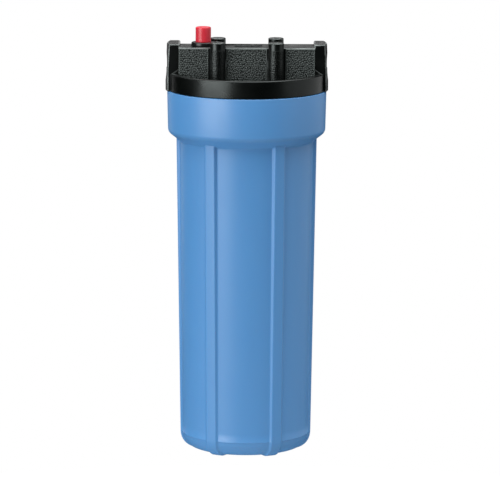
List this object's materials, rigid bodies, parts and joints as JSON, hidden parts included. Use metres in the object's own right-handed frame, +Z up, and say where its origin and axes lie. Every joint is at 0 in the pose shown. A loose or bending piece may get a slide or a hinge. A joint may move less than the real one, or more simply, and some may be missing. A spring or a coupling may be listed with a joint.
{
  "type": "cartridge filter housing",
  "caption": "Upright water filter housing: a ribbed screw-on bowl under a ported cap with a pressure relief button, with a pleated cartridge inside.",
  "frame": {"origin": "on the surface that the bowl's feet stand on, under the bowl's axis", "axes": "+Z up along the bowl's axis; +X towards the outlet port, -X towards the inlet port; -Y is the front"},
  "size_m": [0.118, 0.1156, 0.3102],
  "materials": {
    "cap_black": "moulded glass-filled polypropylene, satin with pebbled panels",
    "valve_black": "moulded, satin",
    "bowl_blue": "moulded polypropylene, soft sheen",
    "button_red": "moulded, gloss",
    "stem_metal": "turned stainless steel",
    "spring_metal": "stainless spring wire",
    "seal_rubber": "nitrile rubber",
    "gasket_foam": "soft foam rubber",
    "cartridge_plastic": "moulded polypropylene",
    "cartridge_paper": "pleated filter paper",
    "net_white": "extruded net"
  },
  "bodies": {
    "head": {"cap": "cap_black", "relief_bushing": "valve_black", "bushing_o_ring": "seal_rubber", "relief_spring": "spring_metal"},
    "valve": {"relief_button": "button_red", "relief_stem": "stem_metal", "stem_o_ring": "seal_rubber"},
    "cartridge": {"cartridge_core": "cartridge_plastic", "cartridge_media": "cartridge_paper", "cartridge_net": "net_white", "cartridge_top_cap": "cartridge_plastic", "cartridge_bottom_cap": "cartridge_plastic", "cartridge_top_gasket": "gasket_foam", "cartridge_bottom_gasket": "gasket_foam"},
    "bowl_seal": {"bowl_o_ring": "seal_rubber"},
    "bowl": {"bowl": "bowl_blue"}
  },
  "joints": [
    {"name": "relief_press", "type": "slide", "parent": "head", "child": "valve", "axis": [0, 0, 1], "range_m": [-0.0022, 0], "stiffness_N_per_m": 1200, "springref_m": 0.003, "deforming": ["relief_spring"]},
    {"name": "bowl_lower", "type": "slide", "parent": "head", "child": "cartridge", "axis": [0, 0, 1], "range_m": [-0.14, 0]},
    {"name": "bowl_screw_drop", "type": "slide", "parent": "cartridge", "child": "bowl_seal", "axis": [0, 0, 1], "range_m": [-0.022, 0]},
    {"name": "bowl_turn", "type": "hinge", "parent": "bowl_seal", "child": "bowl", "pos_m": [0, 0, 0.25], "axis": [0, 0, 1], "range_deg": [-1260, 0]}
  ],
  "couplings": [
    {"joint": "bowl_screw_drop", "follows": "bowl_turn", "m_per_rad": 0.00095493}
  ]
}
